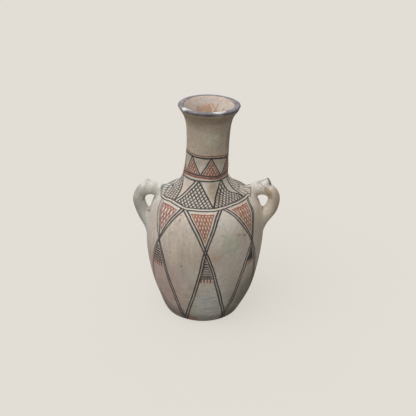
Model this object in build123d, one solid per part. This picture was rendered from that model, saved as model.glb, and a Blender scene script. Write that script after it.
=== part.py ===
"""Two-handled water jar of hand-built, slip-painted earthenware.

The jar is made of the clay members that are formed one by one and luted together: a base disc, the
courses of the body wall, a shoulder, a neck tube, a mouth flare and a rim coil, and on each side a handle
roll, the collars that lute its two roots to the wall, and a thumb spur.

Millimetres. +Z is up, the origin is the middle of the underside, and the handles stand along X.
"""

from build123d import *
from math import cos, radians, sin, sqrt, tan
import os

# Outer outline of the body: radii, and how far each place lies in from the belly and above the last
FOOT_RADIUS = 57.0
HEEL_ROUND = 4.0
BELLY_RADIUS = 89.0
BELLY_HEIGHT = 132.0
CHEST_INSET = 5.0
CHEST_RISE = 35.0
TURN_INSET = 13.0
TURN_RISE = 17.0

# Outer outline of the neck: how far each place lies out from the waist and above the last
WAIST_RADIUS = 30.5
SLOPE_OUTSET = 20.5
SLOPE_RISE = 17.5
ROOT_OUTSET = 6.0
ROOT_RISE = 18.0
COLUMN_OUTSET = 2.9
COLUMN_RISE = 12.5
WAIST_RISE = 20.0
THROAT_OUTSET = 1.3
THROAT_RISE = 41.0
LIP_OUTSET = 13.5
LIP_RISE = 37.0

# Thickness of the clay
WALL = 7.5
BASE_THICKNESS = 9.0
LIP_WIDTH = 8.5
LIP_CROWN = 2.5

# Courses of the body wall, from the base disc up to the turn, all of one height
COURSES = ("foot_course", "lower_course", "belly_course", "chest_course", "upper_course")
RIM_COIL_HEIGHT = 9.0

# How much the bevelled seams rise per millimetre outwards
COURSE_BEVEL = 0.7
TURN_BEVEL = 1.0
ROOT_BEVEL = 0.8
THROAT_BEVEL = 0.5

# Handle roll: its section, the loop that it bends into, and its place on the wall
ROLL_THICKNESS = 18.0
ROLL_WIDTH = 17.0
FINGER_GAP = 16.0
BOW_LIFT = 18.0
BOW_BEND = 13.0
BOW_STRAIGHT = 2.2
LEG_BEND = 25.0
ARM_ANGLE = 12.0
LEG_ANGLE = 26.0
RIGHT_HANDLE_LIFT = 3.0

# Collars round the handle roots
COLLAR_THICKNESS = 1.2
COLLAR_SPREAD_ANGLE = 14.0
ARM_COLLAR_REACH = 2.0
LEG_COLLAR_REACH = 16.0

# Thumb spur on the top of the bow
SPUR_HEIGHT = 6.5
SPUR_LENGTH = 30.0
SPUR_WIDTH = 14.0
SPUR_TIP_LENGTH = 6.0
SPUR_TIP_WIDTH = 8.0
SPUR_LEAN = 3.5

# Heights above the underside and radii that follow from the sizes above
CHEST_HEIGHT = BELLY_HEIGHT + CHEST_RISE
TURN_HEIGHT = CHEST_HEIGHT + TURN_RISE
SLOPE_HEIGHT = TURN_HEIGHT + SLOPE_RISE
ROOT_HEIGHT = SLOPE_HEIGHT + ROOT_RISE
COLUMN_HEIGHT = ROOT_HEIGHT + COLUMN_RISE
WAIST_HEIGHT = COLUMN_HEIGHT + WAIST_RISE
THROAT_HEIGHT = WAIST_HEIGHT + THROAT_RISE
JAR_HEIGHT = THROAT_HEIGHT + LIP_RISE
CHEST_RADIUS = BELLY_RADIUS - CHEST_INSET
TURN_RADIUS = BELLY_RADIUS - TURN_INSET
SLOPE_RADIUS = WAIST_RADIUS + SLOPE_OUTSET
ROOT_RADIUS = WAIST_RADIUS + ROOT_OUTSET
COLUMN_RADIUS = WAIST_RADIUS + COLUMN_OUTSET
THROAT_RADIUS = WAIST_RADIUS + THROAT_OUTSET
LIP_RADIUS = WAIST_RADIUS + LIP_OUTSET


def lower_radius(height, inset=0.0):
    """Radius of the wall below the belly: an arc that stands upright at the belly and ends at the foot."""
    swell = BELLY_RADIUS - FOOT_RADIUS
    arc_radius = (swell**2 + BELLY_HEIGHT**2) / (2 * swell)
    drop = BELLY_HEIGHT - height
    return BELLY_RADIUS - arc_radius + sqrt((arc_radius - inset) ** 2 - drop**2)


def shoulder_curve(inset):
    """Curve from the belly over the shoulder to the waist of the neck, moved inwards by inset."""
    stations = [
        (BELLY_RADIUS, BELLY_HEIGHT),
        (CHEST_RADIUS, CHEST_HEIGHT),
        (TURN_RADIUS, TURN_HEIGHT),
        (SLOPE_RADIUS, SLOPE_HEIGHT),
        (ROOT_RADIUS, ROOT_HEIGHT),
        (COLUMN_RADIUS, COLUMN_HEIGHT),
        (WAIST_RADIUS, WAIST_HEIGHT),
    ]
    ends = [(0, 1), (THROAT_OUTSET, THROAT_RISE)]
    outer = Spline(*stations, tangents=ends)
    moved = []
    for station in stations:
        along = outer.tangent_at(outer.param_at_point(station))
        moved.append((station[0] - inset * along.Y, station[1] + inset * along.X))
    return Spline(*moved, tangents=ends)


def pot_outline(floor_height, inset, lip_radius):
    """Edges from the floor at floor_height up to the lip edge, moved inwards by inset."""
    floor = (lower_radius(floor_height, inset), floor_height)
    shoulder = shoulder_curve(inset)
    belly = shoulder @ 0
    waist = shoulder @ 1
    neck_along = Vector(THROAT_OUTSET, THROAT_RISE)
    throat = waist + neck_along
    lip = (lip_radius, JAR_HEIGHT - LIP_CROWN)
    return [
        TangentArc(belly, floor, tangent=(0, -1)),
        shoulder,
        Line(waist, throat),
        TangentArc(throat, lip, tangent=neck_along),
    ]


def pot_volume():
    """The pot as a stopped solid, with no hollow: what the handles are cut by."""
    rim = (LIP_RADIUS, JAR_HEIGHT - LIP_CROWN)
    edges = pot_outline(0, 0, LIP_RADIUS)
    edges += [Polyline((FOOT_RADIUS, 0), (0, 0), (0, rim[1]), rim)]
    return revolve(Plane.XZ * make_face(edges), Axis.Z)


def wall_section():
    """Half section of the whole pot wall, with radius along X and height along Y."""
    inner_lip_radius = LIP_RADIUS - LIP_WIDTH
    lip_edge_height = JAR_HEIGHT - LIP_CROWN
    crown = ThreePointArc(
        (LIP_RADIUS, lip_edge_height),
        (LIP_RADIUS - LIP_WIDTH / 2, JAR_HEIGHT),
        (inner_lip_radius, lip_edge_height),
    )
    floor = Polyline(
        (FOOT_RADIUS, 0),
        (0, 0),
        (0, BASE_THICKNESS),
        (lower_radius(BASE_THICKNESS, WALL), BASE_THICKNESS),
    )
    outside = pot_outline(0, 0, LIP_RADIUS)
    inside = pot_outline(BASE_THICKNESS, WALL, inner_lip_radius)
    return make_face(outside + [crown] + inside + [floor])


def below_seam(radius, height, bevel):
    """Everything under a bevelled seam that meets the outside of the wall at radius and height."""
    reach = 2 * BELLY_RADIUS
    return make_face(
        Polyline(
            (-reach, height - bevel * (radius + reach)),
            (reach, height + bevel * (reach - radius)),
            (reach, -2 * reach),
            (-reach, -2 * reach),
            close=True,
        )
    )


def pot_members():
    """The members of the pot, from the base disc up, cut from one wall section at the seams."""
    course_height = (TURN_HEIGHT - BASE_THICKNESS) / len(COURSES)
    seams = {"base_disc": (0, BASE_THICKNESS, 0)}
    for number, name in enumerate(COURSES[:-1], start=1):
        height = BASE_THICKNESS + number * course_height
        seams[name] = (lower_radius(height), height, COURSE_BEVEL)
    seams[COURSES[-1]] = (TURN_RADIUS, TURN_HEIGHT, TURN_BEVEL)
    seams["shoulder"] = (ROOT_RADIUS, ROOT_HEIGHT, ROOT_BEVEL)
    seams["neck_tube"] = (THROAT_RADIUS, THROAT_HEIGHT, THROAT_BEVEL)
    seams["mouth_flare"] = (0, JAR_HEIGHT - RIM_COIL_HEIGHT, 0)
    members = {}
    rest = wall_section()
    for name, seam in seams.items():
        below = below_seam(*seam)
        members[name] = revolve(Plane.XZ * (rest & below), Axis.Z)
        rest -= below
    members["rim_coil"] = revolve(Plane.XZ * rest, Axis.Z)
    heel = members["base_disc"].edges().group_by(Axis.Z)[0]
    members["base_disc"] = fillet(heel, HEEL_ROUND)
    return members


def roll_section(centre, along, extra_thickness=0.0, extra_width=0.0):
    """Oval section of a handle roll, square to the direction along, in the plane of the handles."""
    across = (along.Z, 0, -along.X)
    plane = Plane(origin=centre, x_dir=across, z_dir=along)
    return plane * Ellipse(ROLL_THICKNESS / 2 + extra_thickness, ROLL_WIDTH / 2 + extra_width)


def root_collar(outer_end, inner_end, roll):
    """Clay round a handle root, from its thin end on the roll to its spread end inside the wall."""
    along = (inner_end - outer_end).normalized()
    spread = (inner_end - outer_end).length * tan(radians(COLLAR_SPREAD_ANGLE))
    thin = roll_section(outer_end, along, COLLAR_THICKNESS, COLLAR_THICKNESS)
    wide = roll_section(inner_end, along, COLLAR_THICKNESS, COLLAR_THICKNESS + spread)
    return loft([thin, wide], ruled=True) - roll - pot_volume()


def thumb_spur(bow_top, roll, collar):
    """Pinched-up spur that leans outwards on the top of the bow, seated on the roll and its collar."""
    tip = bow_top + Vector(SPUR_LEAN, 0, ROLL_THICKNESS / 2 + SPUR_HEIGHT)
    root_section = Plane(bow_top) * Ellipse(SPUR_LENGTH / 2, SPUR_WIDTH / 2)
    tip_section = Plane(tip) * Ellipse(SPUR_TIP_LENGTH / 2, SPUR_TIP_WIDTH / 2)
    return loft([root_section, tip_section], ruled=True) - roll - collar


def handle_members(lift):
    """Handle on the +X side: the bent roll, its two collars and its spur, raised by lift."""
    arm_along = Vector(cos(radians(ARM_ANGLE)), 0, sin(radians(ARM_ANGLE)))
    leg_along = Vector(-sin(radians(LEG_ANGLE)), 0, -cos(radians(LEG_ANGLE)))
    bow_tangent = BOW_BEND * tan(radians(90 + ARM_ANGLE) / 2)
    leg_tangent = LEG_BEND * tan(radians(LEG_ANGLE) / 2)

    bow_x = TURN_RADIUS + FINGER_GAP + ROLL_THICKNESS / 2
    bow_corner = Vector(bow_x, 0, TURN_HEIGHT + BOW_LIFT + lift)
    leg_corner = bow_corner - Vector(0, 0, bow_tangent + BOW_STRAIGHT + leg_tangent)
    arm_start = bow_corner - arm_along * ((bow_x - ROOT_RADIUS) / arm_along.X)
    leg_end = leg_corner - leg_along * ((bow_x - BELLY_RADIUS + ROLL_THICKNESS) / leg_along.X)
    path = FilletPolyline(arm_start, bow_corner, leg_corner, leg_end, radius=[BOW_BEND, LEG_BEND])
    roll = sweep(roll_section(arm_start, arm_along), path)

    arm_collar_end = bow_corner - arm_along * ((FINGER_GAP - ARM_COLLAR_REACH) / arm_along.X)
    leg_collar_end = leg_corner + leg_along * LEG_COLLAR_REACH
    bow_top = bow_corner + Vector(-BOW_BEND, 0, BOW_BEND - bow_tangent)
    arm_collar = root_collar(arm_collar_end, arm_start, roll)
    return {
        "handle": roll - pot_volume(),
        "upper_collar": arm_collar,
        "lower_collar": root_collar(leg_collar_end, leg_end, roll),
        "thumb_spur": thumb_spur(bow_top, roll, arm_collar),
    }


def jar_members():
    """Every member of the jar by its name."""
    members = pot_members()
    for name, member in handle_members(0.0).items():
        members["left_" + name] = mirror(member, about=Plane.YZ)
    for name, member in handle_members(RIGHT_HANDLE_LIFT).items():
        members["right_" + name] = member
    return members


os.makedirs("parts", exist_ok=True)
for member_name, member_solid in jar_members().items():
    export_step(member_solid, f"parts/{member_name}.step")
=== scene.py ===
import math
from collections import namedtuple
from functools import partial, reduce
from itertools import product

import bpy
import numpy as np
from mathutils import Matrix


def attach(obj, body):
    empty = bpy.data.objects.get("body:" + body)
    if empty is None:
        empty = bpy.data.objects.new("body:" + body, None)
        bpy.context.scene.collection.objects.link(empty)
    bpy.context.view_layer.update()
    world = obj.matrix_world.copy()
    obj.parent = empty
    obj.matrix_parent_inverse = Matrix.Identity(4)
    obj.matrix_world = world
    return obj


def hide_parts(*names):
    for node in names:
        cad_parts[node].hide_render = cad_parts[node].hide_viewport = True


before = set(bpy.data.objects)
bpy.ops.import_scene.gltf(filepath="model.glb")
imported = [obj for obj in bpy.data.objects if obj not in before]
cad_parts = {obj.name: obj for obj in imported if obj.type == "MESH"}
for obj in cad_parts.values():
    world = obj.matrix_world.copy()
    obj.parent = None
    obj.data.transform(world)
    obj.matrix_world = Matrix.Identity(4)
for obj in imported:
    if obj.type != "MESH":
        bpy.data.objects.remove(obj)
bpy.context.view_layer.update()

# Lengths are in millimetres and angles in degrees, in the frame of the solids, unless a name says otherwise.
# Angles round the jar start at the painted front, which faces -Y, and grow towards the right handle at +X.
METRES = 0.001
FULL_TURN = 360.0
HALF_TURN = 180.0
AROUND = (-HALF_TURN, HALF_TURN)

# Outline of the pot, as radius and height, and the ways in which its curves leave and arrive.
HEEL_ROUND = 4.0
LOWER_ARC_CENTRE = (-199.25, 132.0)
LOWER_ARC_RADIUS = 288.25
BELLY = (89.0, 132.0)
CHEST = (84.0, 167.0)
TURN = (76.0, 184.0)
SLOPE = (51.0, 201.5)
ROOT = (36.5, 219.5)
COLUMN = (33.4, 232.0)
WAIST = (30.5, 252.0)
THROAT = (31.8, 293.0)
LIP_EDGE = (44.0, 327.5)
LIP_TOP = (39.9, 330.0)
LIP_INNER = (35.5, 327.0)
LIP_INNER_WAY = (-0.3, -1.0)
WALL = 7.5
FLOOR_EDGE = (44.0, 9.4)
FLOOR_EDGE_WAY = (-0.8, -0.6)
FLOOR_MIDDLE = (2.0, 9.0)
UPWARDS = (0.0, 1.0)
INWARDS = (-1.0, 0.0)
STRAIGHT_DOWN = -90.0

# The solids of the pot, and the heights of the seams between them on the outside.
POT_NODES = ("base_disc", "foot_course", "lower_course", "belly_course", "chest_course", "upper_course",
             "shoulder", "neck_tube", "mouth_flare", "rim_coil")
SEAM_HEIGHTS = (9.0, 44.0, 79.0, 114.0, 149.0, 184.0, 219.5, 293.0, 321.0)

# How fine the lines and meshes are.
SEGMENTS = 192
OUTER_STEP = 2.0
INNER_STEP = 5.0
HEEL_STEP = 1.0
LIP_STEP = 0.8
PATH_STEP = 0.25
TANGENT_STEP = 0.5
NORMAL_STEP = 0.05
HEEL_POINTS = 12
LOWER_POINTS = 200
SHOULDER_POINTS = 40
FLARE_POINTS = 60
CROWN_POINTS = 12
FLOOR_POINTS = 10
UNDERSIDE_RINGS = 12
ROLL_POINTS = 8
SAME_POINT = 1e-6
TINY = 1e-9

# The jar was built by hand: its centre line leans, its wall is a little uneven and its lip isn't level.
LEAN = 0.019
LEAN_HEIGHT = 173.3
UNEVEN = 0.3125
# Waves of the wall: how many go round, their turn in 100 mm of height, where they start, and their share.
WALL_WAVES = ((2, 1.7, 0.6, 1.0), (3, -2.3, 2.1, 0.6), (7, 5.1, 1.0, 0.35), (5, -8.3, 0.0, 0.3))
WAVE_HEIGHT = 100.0
CALM_HEIGHTS = (300.0, 325.0)
CALM_SHARES = (1.0, 0.3)
CALM_RADIUS = 30.0
LIP_WAVE = 0.35
LIP_WAVE_LEAD = 0.9
LIP_WAVE_RISE = 0.6
LIP_WAVE_START = 285.0
# Places where the wall swells or sinks: angle, height, half the angle, half the height and how far.
SWELLINGS = (
    (90, 222, 62, 15, -4.2),
    (80, 278, 60, 20, -0.7),
    (-90, 275, 60, 22, -0.6),
    (-90, 249, 60, 12, 1.0),
    (100, 322, 80, 5, 1.8),
    (-90, 322, 60, 5, 0.6),
    (-90, 148, 40, 24, -2.0),
    (75, 38, 50, 26, 1.9),
    (-70, 8, 50, 14, 1.6),
)


def unit(vectors):
    """Vectors of length one in the directions of the given ones."""
    vectors = np.array(vectors, float)
    return vectors / np.maximum(np.linalg.norm(vectors, axis=-1, keepdims=True), TINY)


def gaps_of(points):
    return np.linalg.norm(np.diff(points, axis=0), axis=1)


def along_line(marks, known, points):
    """Places at the given marks on a line whose points are known at other marks."""
    return np.column_stack([np.interp(marks, known, values) for values in points.T])


def even_marks(start, end, step):
    return np.linspace(start, end, max(2, int(round((end - start) / step)) + 1))


def smooth_curve(points, start, end, steps):
    """The curve of even curvature through the points that leaves and arrives in the given directions."""
    points = np.array(points, float)
    count = len(points)
    gaps = gaps_of(points)
    system = np.eye(count)
    slopes = np.zeros_like(points)
    slopes[0] = unit(start)
    slopes[-1] = unit(end)
    for i in range(1, count - 1):
        before, after = gaps[i - 1:i + 1]
        system[i, i - 1:i + 2] = (after, 2 * (before + after), before)
        arriving = after * (points[i] - points[i - 1]) / before
        slopes[i] = 3 * (arriving + before * (points[i + 1] - points[i]) / after)
    slopes = np.linalg.solve(system, slopes)
    t = np.linspace(0.0, 1.0, steps, endpoint=False)[:, None]
    made = [(2 * t**3 - 3 * t**2 + 1) * points[i] + (t**3 - 2 * t**2 + t) * gaps[i] * slopes[i]
            + (3 * t**2 - 2 * t**3) * points[i + 1] + (t**3 - t**2) * gaps[i] * slopes[i + 1]
            for i in range(count - 1)]
    return np.vstack(made + [points[-1:]])


def arc_points(centre, radius, start, end, steps):
    """Points on an arc between two angles in degrees."""
    angles = np.radians(np.linspace(start, end, steps))
    return np.array(centre) + radius * np.column_stack([np.cos(angles), np.sin(angles)])


def leaving_arc(start, direction, end, steps):
    """The arc that leaves start in the given direction and bends to the right until it reaches end."""
    start = np.array(start, float)
    along = unit(direction)
    right = np.array([along[1], -along[0]])
    chord = np.array(end, float) - start
    radius = chord @ chord / (2 * chord @ right)
    centre = start + right * radius
    spokes = (start - centre, start + chord - centre)
    first, last = [math.degrees(math.atan2(spoke[1], spoke[0])) for spoke in spokes]
    return arc_points(centre, radius, first % FULL_TURN, last, steps)


class Outline:
    """A line of radius and height that is looked up by the length along it."""

    def __init__(self, points):
        points = points[np.append(True, gaps_of(points) > SAME_POINT)]
        length = np.append(0.0, np.cumsum(gaps_of(points)))
        self.length = length[-1]
        self.marks = np.linspace(0.0, self.length, int(self.length / PATH_STEP))
        self.points = along_line(self.marks, length, points)
        self.tangents = unit(np.gradient(self.points, self.marks, axis=0))

    def at(self, marks):
        return along_line(marks, self.marks, self.points)

    def along(self, marks):
        return unit(along_line(marks, self.marks, self.tangents))

    def mark_of_height(self, height):
        return float(np.interp(height, self.points[:, 1], self.marks))


def outer_outline():
    """The outside of the pot, from the heel up to the lip's edge."""
    reach = LOWER_ARC_RADIUS - HEEL_ROUND
    drop = LOWER_ARC_CENTRE[1] - HEEL_ROUND
    heel_centre = (LOWER_ARC_CENTRE[0] + math.sqrt(reach**2 - drop**2), HEEL_ROUND)
    meeting = -math.degrees(math.asin(drop / reach))
    heel = arc_points(heel_centre, HEEL_ROUND, STRAIGHT_DOWN, meeting, HEEL_POINTS)
    lower = arc_points(LOWER_ARC_CENTRE, LOWER_ARC_RADIUS, meeting, 0.0, LOWER_POINTS)
    neck_rise = np.subtract(THROAT, WAIST)
    corners = [BELLY, CHEST, TURN, SLOPE, ROOT, COLUMN, WAIST]
    shoulder = smooth_curve(corners, UPWARDS, neck_rise, SHOULDER_POINTS)
    flare = leaving_arc(THROAT, neck_rise, LIP_EDGE, FLARE_POINTS)
    return Outline(np.vstack([heel, lower, shoulder, flare]))


OUTER = outer_outline()


def inner_outline():
    """The inside of the pot at the marks of the outside, so that a seam goes straight through the wall."""
    throat_mark = OUTER.mark_of_height(THROAT[1])
    below = OUTER.marks <= throat_mark
    inside = OUTER.points - WALL * np.column_stack([OUTER.tangents[:, 1], -OUTER.tangents[:, 0]])
    flare = leaving_arc(inside[below][-1], OUTER.tangents[below][-1], LIP_INNER, FLARE_POINTS)
    wanted = (OUTER.marks[~below] - throat_mark) / (OUTER.length - throat_mark)
    inside[~below] = along_line(wanted, np.linspace(0.0, 1.0, FLARE_POINTS), flare)
    return inside


def uneven_wall(theta, height):
    """How far the hand-built wall stands out or in."""
    turn = np.radians(theta)
    up = height / WAVE_HEIGHT
    waves = sum(share * np.sin(count * turn + rate * up + start) for count, rate, start, share in WALL_WAVES)
    found = UNEVEN * waves * np.interp(height, CALM_HEIGHTS, CALM_SHARES)
    for angle, middle, half_angle, half_height, depth in SWELLINGS:
        aside = (theta - angle + HALF_TURN) % FULL_TURN - HALF_TURN
        found = found + depth * np.exp(-(aside / half_angle)**2 - ((height - middle) / half_height)**2)
    return found


def lip_wave(theta, height):
    """How far the lip rises or dips."""
    share = np.clip((height - LIP_WAVE_START) / (LIP_TOP[1] - LIP_WAVE_START), 0.0, 1.0)
    return LIP_WAVE * share**2 * (np.sin(2 * np.radians(theta) + LIP_WAVE_LEAD) + LIP_WAVE_RISE)


def centre_shift(height):
    """How far the leaning centre line stands to the right at a height, for numbers and for terms."""
    return LEAN * (height - LEAN_HEIGHT)


def on_pot(theta, radius, height):
    """Points on the hand-built pot for an angle, radius and height."""
    swell = radius + uneven_wall(theta, height) * np.clip(radius / CALM_RADIUS, 0.0, 1.0)
    turn = np.radians(theta)
    x = swell * np.sin(turn) + centre_shift(height)
    y = -swell * np.cos(turn)
    return np.stack(np.broadcast_arrays(x, y, height + lip_wave(theta, height)), axis=-1)


def new_piece(name, points, faces, normals=None):
    """A smooth mesh object from points in millimetres, with a normal for each face corner if given."""
    mesh = bpy.data.meshes.new(name)
    mesh.from_pydata((np.asarray(points) * METRES).tolist(), [], faces)
    mesh.polygons.foreach_set("use_smooth", [True] * len(mesh.polygons))
    mesh.update()
    if normals is not None:
        mesh.normals_split_custom_set(normals.tolist())
    piece = bpy.data.objects.new(name, mesh)
    bpy.context.scene.collection.objects.link(piece)
    return piece


# One side of a turned piece: its rings as radius and height, the direction along them and its kind.
Strip = namedtuple("Strip", "rings along kind")


def strip_through(points, kind):
    points = np.array(points)
    return Strip(points, unit(np.gradient(points, axis=0)), kind)


def ring_normals(strip, theta):
    """Outward normals of the hand-built surface on each ring of a strip."""
    radius, height = strip.rings.T[:, :, None]
    out, up = NORMAL_STEP * strip.along.T[:, :, None]
    round_way = on_pot(theta + NORMAL_STEP, radius, height) - on_pot(theta - NORMAL_STEP, radius, height)
    up_way = on_pot(theta, radius + out, height + up) - on_pot(theta, radius - out, height - up)
    return unit(np.cross(round_way, up_way))


def turned_piece(name, strips, materials, closed=True):
    """A piece of the pot whose section is a chain of strips, each with its material and corner normals."""
    here = np.arange(SEGMENTS)
    after = np.roll(here, -1)
    theta = here * FULL_TURN / SEGMENTS - HALF_TURN
    rings = np.vstack([strip.rings[:-1] for strip in strips])
    total = len(rings) * SEGMENTS
    if not closed:
        rings = np.vstack([rings, strips[-1].rings[-1:]])
    faces = []
    normals = []
    kinds = []
    low = 0
    for strip in strips:
        facing = ring_normals(strip, theta)
        for below, above in zip(facing[:-1], facing[1:]):
            high = (low + SEGMENTS) % total if closed else low + SEGMENTS
            faces += np.column_stack([low + here, low + after, high + after, high + here]).tolist()
            normals.append(np.stack([below, below[after], above[after], above], axis=1).reshape(-1, 3))
            kinds += [strip.kind] * SEGMENTS
            low += SEGMENTS
    if not closed:
        for ring, strip, facing in ((here[::-1], strips[0], -1.0), (low + here, strips[-1], 1.0)):
            faces.append(ring.tolist())
            normals.append(np.tile((0.0, 0.0, facing), (SEGMENTS, 1)))
            kinds.append(strip.kind)
    points = on_pot(theta, *rings.T[:, :, None]).reshape(-1, 3)
    piece = new_piece(name, points, faces, np.vstack(normals))
    for material in materials.values():
        piece.data.materials.append(material)
    names = list(materials)
    piece.data.polygons.foreach_set("material_index", [names.index(kind) for kind in kinds])
    return piece


# Handles: the middle line of each roll in the plane of the handles, as distance from the axis and height,
# with half the thickness in that plane.
LEFT_ROLL = ((56, 194, 10), (68, 196, 9.4), (80, 197.5, 9.3), (91, 195, 9.2), (98.6, 187, 9),
             (99.6, 177, 8.9), (97, 166, 9), (92, 154, 9.2), (86.5, 143.5, 9), (81, 133, 8.5))
RIGHT_ROLL = ((56, 191, 11), (68, 195.8, 10.5), (80, 200, 10), (92, 198, 9.4), (100, 190.5, 9.2),
              (101.4, 180.5, 9.1), (98.8, 169.5, 9.5), (92.8, 158.5, 9.4), (85.5, 148.8, 9),
              (78.5, 138.5, 8.2))
ROLL_HALF_WIDTH = 8.8
# The pinched-up spurs, as the rolls are, and the right one's flat end: a point on it and the way it faces.
LEFT_SPUR = ((95.5, 196, 5), (87.8, 208.8, 3.3), (80, 203, 5.5))
RIGHT_SPUR = ((78, 203, 6.5), (92.6, 212, 5))
RIGHT_SPUR_END = (95.0, 211.8, 25.0)
SPUR_HALF_WIDTH = 6.8
SPUR_BLEND = 5.0
SPUR_END_ROUND = 2.0
ROOT_BLEND = 9.0
ROOT_REACH = 8.82
ROOT_SINK = 0.35
ROOT_DEPTH = 3.0
# Waves of the handles' clay: how fast they go along each axis, where they start, and their share.
HANDLE_WAVES = ((0.11, 0.0, 0.23, 0.0, 1.0), (0.0, 0.31, 0.17, 1.0, 0.7), (0.43, -0.2, 0.0, 0.0, 0.5))
HANDLE_UNEVEN = 0.35 / 1.5
# The grids in which the handles and the wall beside them are worked out.
HANDLE_CELL = 0.9
HANDLE_RANGES = ((50.0, 116.0), (-24.0, 24.0), (108.0, 226.0))
FIELD_RADII = (20, 130)
FIELD_HEIGHTS = (100, 240)
FIELD_SKIP = 4
LAST_CELL = 1.001
SETTLING_ROUNDS = 3
SETTLING_SHARE = 0.8
QUAD_CORNERS = ((1, 1), (0, 1), (0, 0), (1, 0))


def smooth_least(a, b, reach):
    """The lesser of two distance fields, rounded over where they are within reach of each other."""
    share = np.clip(0.5 + 0.5 * (b - a) / reach, 0.0, 1.0)
    return b + (a - b) * share - reach * share * (1 - share)


def line_distance(px, pz, line):
    """Distance from points to a line of (x, z, half thickness) stations, and the half thickness there."""
    best = np.full(px.shape, np.inf)
    thick = np.zeros(px.shape)
    for (x0, z0, t0), (x1, z1, t1) in zip(line[:-1], line[1:]):
        run = (x1 - x0, z1 - z0)
        share = np.clip(((px - x0) * run[0] + (pz - z0) * run[1]) / (run[0]**2 + run[1]**2), 0.0, 1.0)
        found = np.hypot(px - x0 - share * run[0], pz - z0 - share * run[1])
        thick = np.where(found < best, t0 + share * (t1 - t0), thick)
        best = np.minimum(found, best)
    return best, thick


def looked_up(grid, spots):
    """The values of a grid between its points, at spots counted in cells along each axis."""
    spots = [np.clip(spot, 0, size - LAST_CELL) for spot, size in zip(spots, grid.shape)]
    cells = [spot.astype(int) for spot in spots]
    found = 0.0
    for corner in product((0, 1), repeat=len(spots)):
        weight = 1.0
        for spot, cell, step in zip(spots, cells, corner):
            weight = weight * (spot - cell if step else 1 - spot + cell)
        found = found + weight[..., None] * grid[tuple(cell + step for cell, step in zip(cells, corner))]
    return found


def pot_field(x, y, z):
    """Signed distance to the outside of the pot."""
    across = x - centre_shift(z)
    radius = np.hypot(across, y) - uneven_wall(np.degrees(np.arctan2(across, -y)), z)
    heights = np.arange(*FIELD_HEIGHTS)
    mesh_radius, mesh_height = np.meshgrid(np.arange(*FIELD_RADII), heights, indexing="ij")
    near = np.full(mesh_radius.shape, np.inf)
    for point in OUTER.points[::FIELD_SKIP]:
        near = np.minimum(near, np.hypot(mesh_radius - point[0], mesh_height - point[1]))
    edge = np.interp(heights, OUTER.points[:, 1], OUTER.points[:, 0])
    near = np.where(mesh_radius < edge, -near, near)
    return looked_up(near[..., None], (radius - FIELD_RADII[0], z - FIELD_HEIGHTS[0]))[..., 0]


def past_spur_end(x, z):
    """How far a place lies beyond the flat end of the right spur, for numbers and for terms."""
    facing = math.radians(RIGHT_SPUR_END[2])
    return (x - RIGHT_SPUR_END[0]) * math.cos(facing) + (z - RIGHT_SPUR_END[1]) * math.sin(facing)


def handle_field(side, roll, spur, x, y, z):
    """Signed distance to a handle and its roots over the wall; side is -1 for left, 1 for right."""
    roll = np.array(roll, float)
    line = smooth_curve(roll, roll[1] - roll[0], roll[-1] - roll[-2], ROLL_POINTS)
    middle, thick = line_distance(side * x, z, line)
    body = (np.hypot(middle / thick, y / ROLL_HALF_WIDTH) - 1.0) * ROLL_HALF_WIDTH
    tip, half = line_distance(side * x, z, spur)
    lug = (np.hypot(tip / half, y / SPUR_HALF_WIDTH) - 1.0) * half
    if side > 0:
        lug = -smooth_least(-lug, -past_spur_end(x, z), SPUR_END_ROUND)
    clay = smooth_least(body, lug, SPUR_BLEND)
    for rate_x, rate_y, rate_z, start, share in HANDLE_WAVES:
        clay = clay + HANDLE_UNEVEN * share * np.sin(rate_x * x + rate_y * y + rate_z * z + start)
    wall = pot_field(x, y, z)
    drawn = smooth_least(clay, wall + ROOT_SINK, ROOT_BLEND)
    return np.maximum(np.maximum(drawn, clay - ROOT_REACH), -(wall + ROOT_DEPTH))


def at_corner(values, offset):
    """The values at one corner of each cell of a grid."""
    return values[tuple(slice(o, n - 1 + o) for o, n in zip(offset, values.shape))]


def surface_of(field):
    """Points, faces and normals of the surface where a field on a grid is nothing, counted in cells."""
    ways = np.eye(3, dtype=int)
    cells = tuple(n - 1 for n in field.shape)
    total = np.zeros(cells + (3,))
    count = np.zeros(cells)
    for start, axis in product(product((0, 1), repeat=3), range(3)):
        if not start[axis]:
            first = at_corner(field, start)
            last = at_corner(field, ways[axis] + start)
            crossing = (first < 0) != (last < 0)
            share = np.where(crossing, first / np.where(crossing, first - last, 1.0), 0.0)
            total += (start + share[..., None] * ways[axis]) * crossing[..., None]
            count += crossing
    met = count > 0
    number = np.full(cells, -1)
    number[met] = np.arange(met.sum())
    points = np.argwhere(met) + total[met] / count[met][:, None]
    inside = field < 0
    faces = []
    for axis in range(3):
        before = [slice(1, -1)] * 3
        after = [slice(1, -1)] * 3
        before[axis] = slice(0, -1)
        after[axis] = slice(1, None)
        leaves = inside[tuple(before)]
        crossed = leaves != inside[tuple(after)]
        base = np.argwhere(crossed) + 1 - ways[axis]
        u, v = np.delete(ways, axis, axis=0)
        quad = np.column_stack([number[tuple((base - a * u - b * v).T)] for a, b in QUAD_CORNERS])
        over = leaves[crossed] == (axis == 1)
        quad[over] = quad[over][:, ::-1]
        faces.append(quad)
    grid = np.stack([field, *np.gradient(field)], axis=-1)
    for _ in range(SETTLING_ROUNDS):
        found = looked_up(grid, points.T)
        slope = found[:, 1:]
        steepness = np.maximum((slope**2).sum(1, keepdims=True), TINY)
        points = points - found[:, :1] / steepness * slope * SETTLING_SHARE
    return points, np.vstack(faces), unit(looked_up(grid, points.T)[:, 1:])


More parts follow.
